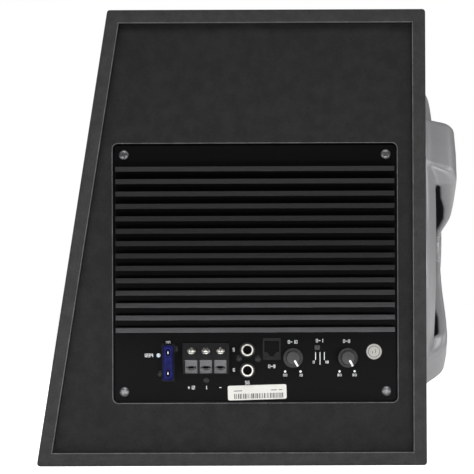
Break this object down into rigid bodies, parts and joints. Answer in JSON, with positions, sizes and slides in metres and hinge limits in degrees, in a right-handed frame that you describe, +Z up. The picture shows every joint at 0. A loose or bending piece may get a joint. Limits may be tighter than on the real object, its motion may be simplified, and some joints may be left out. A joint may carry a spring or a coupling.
{
  "type": "powered car subwoofer",
  "caption": "Carpeted wedge-shaped bass enclosure with a guarded front woofer and a finned amplifier plate with controls on one side.",
  "frame": {"origin": "middle of the cabinet's base, on the floor", "axes": "+X towards the woofer and its guard, -Y towards the amplifier's side, +Z up"},
  "size_m": [0.356, 0.3888, 0.38],
  "materials": {
    "carpet": "charcoal needle-punched felt carpet",
    "fibreboard": "raw medium-density fibreboard",
    "black_aluminium": "satin black anodised, finned",
    "silver_plastic": "satin silver painted",
    "black_plastic": "fine moulded texture",
    "black_steel": "black powder coat",
    "steel": "zinc plated",
    "nickel": "bright nickel plate",
    "ferrite": "dull dark grey, ground faces",
    "rubber": "matt black",
    "paper_cone": "pressed black pulp",
    "spider_cloth": "resin-stiffened woven cotton, golden",
    "copper_winding": "enamelled copper",
    "circuit_board": "green solder mask",
    "blue_plastic": "tinted translucent blue",
    "white_lens": "diffusing lens"
  },
  "bodies": {
    "cabinet": {"front_baffle": "fibreboard", "rear_panel": "fibreboard", "top_panel": "fibreboard", "bottom_panel": "fibreboard", "amp_side_panel": "fibreboard", "far_side_panel": "fibreboard", "carpet_front": "carpet", "carpet_rear": "carpet", "carpet_top": "carpet", "carpet_bottom": "carpet", "carpet_amp_side": "carpet", "carpet_far_side": "carpet", "basket": "black_steel", "top_plate": "steel", "magnet": "ferrite", "pole_and_back_plate": "steel", "woofer_gasket": "rubber", "woofer_terminal": "black_plastic", "surround": "rubber", "spider": "spider_cloth", "guard": "silver_plastic", "guard_badge": "black_plastic", "guard_screw_1": "black_steel", "guard_screw_2": "black_steel", "guard_screw_3": "black_steel", "guard_screw_4": "black_steel", "amp_plate": "black_aluminium", "amp_gasket": "rubber", "amp_screw_1": "nickel", "amp_screw_2": "nickel", "amp_screw_3": "nickel", "amp_screw_4": "nickel", "amp_inner_cover": "black_steel", "circuit_board": "circuit_board", "power_toroid": "copper_winding", "capacitor_1": "black_plastic", "capacitor_2": "black_plastic", "fuse_holder": "black_plastic", "terminal_block": "black_plastic", "rca_socket_left": "nickel", "rca_socket_right": "nickel", "remote_socket": "black_plastic", "level_control": "steel", "frequency_control": "steel", "phase_switch": "steel", "power_light": "white_lens"},
    "cone_assembly": {"cone": "paper_cone", "dust_cap": "paper_cone", "voice_coil": "copper_winding"},
    "fuse": {"fuse": "blue_plastic"},
    "level_knob": {"level_knob": "black_plastic"},
    "frequency_knob": {"frequency_knob": "black_plastic"},
    "phase_slider": {"phase_slider": "black_plastic"},
    "terminal_screw_1": {"terminal_screw_1": "nickel"},
    "terminal_clamp_1": {"terminal_clamp_1": "steel"},
    "terminal_screw_2": {"terminal_screw_2": "nickel"},
    "terminal_clamp_2": {"terminal_clamp_2": "steel"},
    "terminal_screw_3": {"terminal_screw_3": "nickel"},
    "terminal_clamp_3": {"terminal_clamp_3": "steel"}
  },
  "joints": [
    {"name": "cone_travel", "type": "slide", "parent": "cabinet", "child": "cone_assembly", "axis": [1, 0, 0], "range_m": [-0.008, 0.008], "stiffness_N_per_m": 2500, "deforming": ["surround", "spider"]},
    {"name": "fuse_pull", "type": "slide", "parent": "cabinet", "child": "fuse", "axis": [0, -1, 0], "range_m": [0, 0.022]},
    {"name": "level_turn", "type": "hinge", "parent": "cabinet", "child": "level_knob", "pos_m": [0.0514, -0.1822, 0.0895], "axis": [0, -1, 0], "range_deg": [0, 300]},
    {"name": "frequency_turn", "type": "hinge", "parent": "cabinet", "child": "frequency_knob", "pos_m": [0.0971, -0.1822, 0.0895], "axis": [0, -1, 0], "range_deg": [0, 300]},
    {"name": "phase_slide", "type": "slide", "parent": "cabinet", "child": "phase_slider", "axis": [1, 0, 0], "range_m": [0, 0.0054]},
    {"name": "terminal_turn_1", "type": "hinge", "parent": "cabinet", "child": "terminal_screw_1", "pos_m": [-0.0334, -0.1907, 0.0958], "axis": [0, -0.7071, 0.7071], "range_deg": [0, 1710.01]},
    {"name": "terminal_clamp_slide_1", "type": "slide", "parent": "cabinet", "child": "terminal_clamp_1", "axis": [0, 0.7071, -0.7071], "range_m": [0, 0.0038]},
    {"name": "terminal_turn_2", "type": "hinge", "parent": "cabinet", "child": "terminal_screw_2", "pos_m": [-0.0213, -0.1907, 0.0958], "axis": [0, -0.7071, 0.7071], "range_deg": [0, 1710.01]},
    {"name": "terminal_clamp_slide_2", "type": "slide", "parent": "cabinet", "child": "terminal_clamp_2", "axis": [0, 0.7071, -0.7071], "range_m": [0, 0.0038]},
    {"name": "terminal_turn_3", "type": "hinge", "parent": "cabinet", "child": "terminal_screw_3", "pos_m": [-0.0092, -0.1907, 0.0958], "axis": [0, -0.7071, 0.7071], "range_deg": [0, 1710.01]},
    {"name": "terminal_clamp_slide_3", "type": "slide", "parent": "cabinet", "child": "terminal_clamp_3", "axis": [0, 0.7071, -0.7071], "range_m": [0, 0.0038]}
  ],
  "couplings": [
    {"joint": "terminal_turn_1", "follows": "terminal_clamp_slide_1", "rad_per_m": 7854},
    {"joint": "terminal_turn_2", "follows": "terminal_clamp_slide_2", "rad_per_m": 7854},
    {"joint": "terminal_turn_3", "follows": "terminal_clamp_slide_3", "rad_per_m": 7854}
  ]
}
